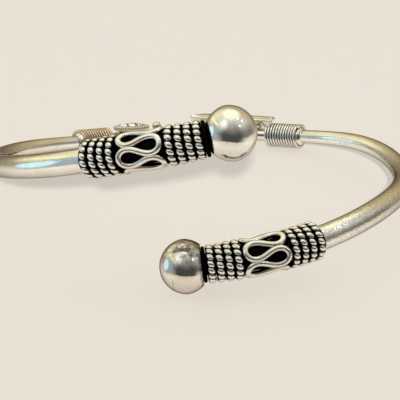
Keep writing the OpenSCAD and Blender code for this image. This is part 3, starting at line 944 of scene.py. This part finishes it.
# The room round the table: what the metal mirrors, and the soft light that it gives.
# Each ramp goes from straight down (-1) to straight up (1).
ground = (0.74, 0.66, 0.57)
room = {
    "front": [(-1, ground), (-0.62, (0.88, 0.8, 0.68)), (-0.34, (0.72, 0.65, 0.55)),
              (-0.29, (0.07, 0.066, 0.06)), (0.14, (0.07, 0.075, 0.075)), (0.34, (0.15, 0.15, 0.14)),
              (0.57, (0.29, 0.27, 0.23)), (0.77, (0.45, 0.45, 0.39)), (0.93, (0.68, 0.67, 0.58)),
              (1, (1.0, 0.99, 0.86))],
    "right": [(-1, ground), (-0.41, (0.98, 0.9, 0.76)), (-0.2, (0.74, 0.67, 0.56)),
              (-0.07, (0.22, 0.19, 0.16)), (0.14, (0.21, 0.19, 0.165)), (0.34, (0.36, 0.35, 0.31)),
              (0.57, (0.66, 0.66, 0.6)), (0.77, (0.64, 0.64, 0.58)), (1, (0.9, 0.9, 0.82))],
    "back": [(-1, ground), (-0.41, (0.94, 0.87, 0.76)), (-0.24, (0.8, 0.73, 0.61)),
             (-0.07, (0.46, 0.4, 0.3)), (0.14, (0.47, 0.39, 0.24)), (0.34, (0.63, 0.52, 0.3)),
             (0.57, (0.61, 0.51, 0.31)), (0.77, (0.66, 0.6, 0.42)), (0.92, (0.74, 0.72, 0.6)),
             (1, (1.06, 1.06, 0.96))],
    "left": [(-1, ground), (-0.41, (0.98, 0.9, 0.76)), (-0.24, (0.44, 0.42, 0.38)),
             (0.14, (0.22, 0.25, 0.26)), (0.34, (0.44, 0.48, 0.42)), (0.6, (0.66, 0.66, 0.56)),
             (1, (0.98, 0.98, 0.85))],
    # how far round a wall starts and is full, beginning from the front one
    "walls": [("right", "X", (0.6, 0.99)), ("left", "X", (-0.66, -0.97)), ("back", "Y", (0.1, 0.6))],
    # way, cosines where a patch of light starts and is full, colour
    "patches": [
        ((0.05, 0.3, 0.95), (0.8, 0.95), (1.18, 1.14, 0.88)),
        ((-0.55, 0.55, 0.52), (0.88, 0.965), (0.9, 0.84, 0.56)),
        ((-0.557, -0.321, 0.766), (0.945, 0.985), (1.1, 1.1, 0.98)),
        ((-0.557, -0.321, 0.766), (0.86, 0.975), (0.78, 0.78, 0.68)),
        ((-0.972, 0.235, 0.03), (0.95, 0.984), (0.74, 1.04, 1.1)),
        ((-0.985, -0.02, 0.05), (0.9, 0.985), (0.34, 0.45, 0.49))],
    # how far noise shifts the ramps up and down, how fine it is, and where it fades out towards the poles
    "uneven": 0.16, "unevenScale": 2.6, "unevenEnd": (0.6, 0.9),
    # a strip of light between two ways: where its side fades out, its soft end, its colour
    "strip": {"from": (-0.55, 0.78, 0.29), "to": (-0.84, -0.2, 0.5), "side": (0.06875, 0.04125), "end": 0.03,
              "colour": (1.08, 1.06, 0.6)},
    "soft": (0.58, 0.57, 0.55), "backdrop": (0.807, 0.753, 0.672),
}


def makeRoom():
    world = bpy.data.worlds.new("room")
    bpy.context.scene.world = world
    world.use_nodes = True
    tree = world.node_tree
    way = whereIn(tree, "Generated")
    up = axes(tree, way)["Z"]
    shift = minus(tree, noiseAt(tree, way, room["unevenScale"], 4.0), 0.5)
    level = mapped(tree, calc(tree, "ABSOLUTE", up), *room["unevenEnd"], room["uneven"], 0.0)
    high = calc(tree, "MULTIPLY_ADD", shift, level, up)
    flat = axes(tree, vector(tree, "NORMALIZE", vector(tree, "MULTIPLY", way, (1, 1, 0))))
    colour = ramp(tree, high, room["front"])
    for wall, axis, spread in room["walls"]:
        near = mapped(tree, flat[axis], *spread, smoothly=True)
        colour = mixed(tree, near, colour, ramp(tree, high, room[wall]))
    for towards, spread, light in reversed(room["patches"]):
        near = vector(tree, "DOT_PRODUCT", way, tuple(Vector(towards).normalized()))
        colour = mixed(tree, mapped(tree, near, *spread, smoothly=True), colour, light)
    strip = room["strip"]
    first, last = Vector(strip["from"]).normalized(), Vector(strip["to"]).normalized()
    middle, across = (first + last).normalized(), first.cross(last).normalized()
    off = calc(tree, "ABSOLUTE", vector(tree, "DOT_PRODUCT", way, tuple(across)))
    reach, end = vector(tree, "DOT_PRODUCT", way, tuple(middle)), first.dot(middle)
    within = mapped(tree, off, *strip["side"], smoothly=True)
    within = times(tree, within, mapped(tree, reach, end, end + strip["end"]))
    colour = mixed(tree, within, colour, strip["colour"])
    path = put(tree, "ShaderNodeLightPath").outputs
    colour = mixed(tree, path["Is Diffuse Ray"], colour, room["soft"])
    colour = mixed(tree, path["Is Camera Ray"], colour, room["backdrop"])
    fill(tree, tree.nodes["Background"], {"Color": colour})


makeRoom()

# Lights, all square: place, what it faces, size in millimetres, colour, radiance, whether the metal mirrors it
lights = {
    "spotA": ((190, -40, 360), (0, 0, 15), 16, (1.0, 1.0, 0.95), 13.0, True),
    "spotB": ((280, -45, 310), (0, 0, 15), 16, (1.0, 1.0, 0.95), 13.0, True),
    "spotC": ((230, -200, 250), (0, 0, 15), 18, (1.0, 1.0, 0.95), 13.0, True),
    "overCamera": ((-34, -470, 205), (0, 0, 0), 16, (1.0, 0.99, 0.97), 4300.0, False),
}
for name, (place, target, size, colour, radiance, mirrored) in lights.items():
    data = bpy.data.lights.new(name, "AREA")
    data.size = size * mm
    data.color = colour
    data.energy = radiance * pi * data.size ** 2
    obj = linkObject(name, data)
    obj.location = Vector(place) * mm
    obj.rotation_euler = (Vector(target) - Vector(place)).to_track_quat("-Z", "Y").to_euler()
    obj.visible_glossy = mirrored
    if not mirrored:
        # As bright near as far, so that the floor stays even
        data.use_nodes = True
        tree = data.node_tree
        far = put(tree, "ShaderNodeLightFalloff", {"Strength": 1 / (Vector(place) * mm).length_squared})
        fill(tree, tree.nodes["Emission"], {"Strength": far.outputs["Constant"]})

# Camera: fitted to the ring, the balls and the wraps of the photograph
camera = {
    "distance": 260.0, "elevation": 21.57, "azimuth": 3.85, "roll": 0.62, "focalPixels": 1582.4, "width": 400,
    "offsetX": -0.627, "offsetY": 7.961, "sensor": 36.0, "clipStart": 5.0,
}


def makeCamera():
    e, a, r = (radians(camera[k]) for k in ("elevation", "azimuth", "roll"))
    back = Vector((-sin(a) * cos(e), -cos(a) * cos(e), sin(e)))
    right = Vector((cos(a), -sin(a), 0))
    up = back.cross(right)
    rolledRight = cos(r) * right - sin(r) * up
    rolledUp = sin(r) * right + cos(r) * up
    facing = Matrix((rolledRight, rolledUp, back)).transposed()
    nudge = (Matrix.Rotation(atan(camera["offsetY"] / camera["focalPixels"]), 3, "X")
             @ Matrix.Rotation(atan(camera["offsetX"] / camera["focalPixels"]), 3, "Y"))
    place = Vector((0, ringY, 0)) + camera["distance"] * back
    data = bpy.data.cameras.new("camera")
    data.sensor_width = camera["sensor"]
    data.lens = camera["focalPixels"] / camera["width"] * camera["sensor"]
    data.clip_start = camera["clipStart"] * mm
    obj = linkObject("camera", data)
    obj.matrix_world = Matrix.Translation(place * mm) @ (facing @ nudge).to_4x4()
    bpy.context.scene.camera = obj


makeCamera()
bpy.context.scene.view_settings.view_transform = "Standard"
print("camera and lights done")
